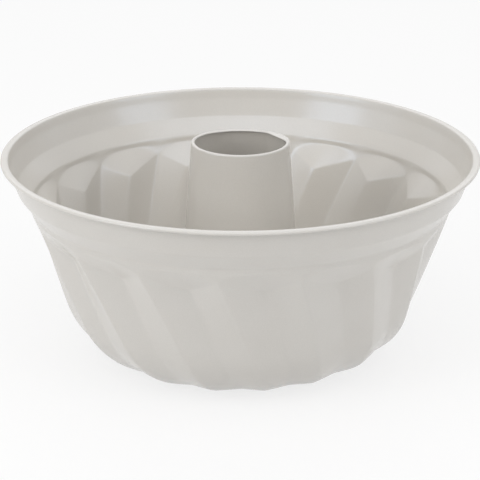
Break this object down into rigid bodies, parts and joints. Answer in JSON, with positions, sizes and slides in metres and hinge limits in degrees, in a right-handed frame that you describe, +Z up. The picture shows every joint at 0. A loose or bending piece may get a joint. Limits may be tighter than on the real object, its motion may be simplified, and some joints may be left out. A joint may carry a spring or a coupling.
{
  "type": "fluted tube pan",
  "caption": "Round ring cake pan of pressed sheet steel with spiral flutes, a plain flared band, a rolled wired rim and a conical centre tube that lets heat through the middle.",
  "frame": {"origin": "on the axis of the pan, in the plane of the base ring that it stands on", "axes": "+Z up along the axis of the centre tube, +X to the right and +Y away from the viewer of the picture"},
  "size_m": [0.2498, 0.25, 0.1176],
  "materials": {
    "coated_steel": "satin warm-grey non-stick coating",
    "wire": "bare drawn wire, hidden in the rolled rim"
  },
  "bodies": {
    "root": {"fluted_body": "coated_steel", "centre_tube": "coated_steel", "rim_wire": "wire"}
  },
  "joints": []
}
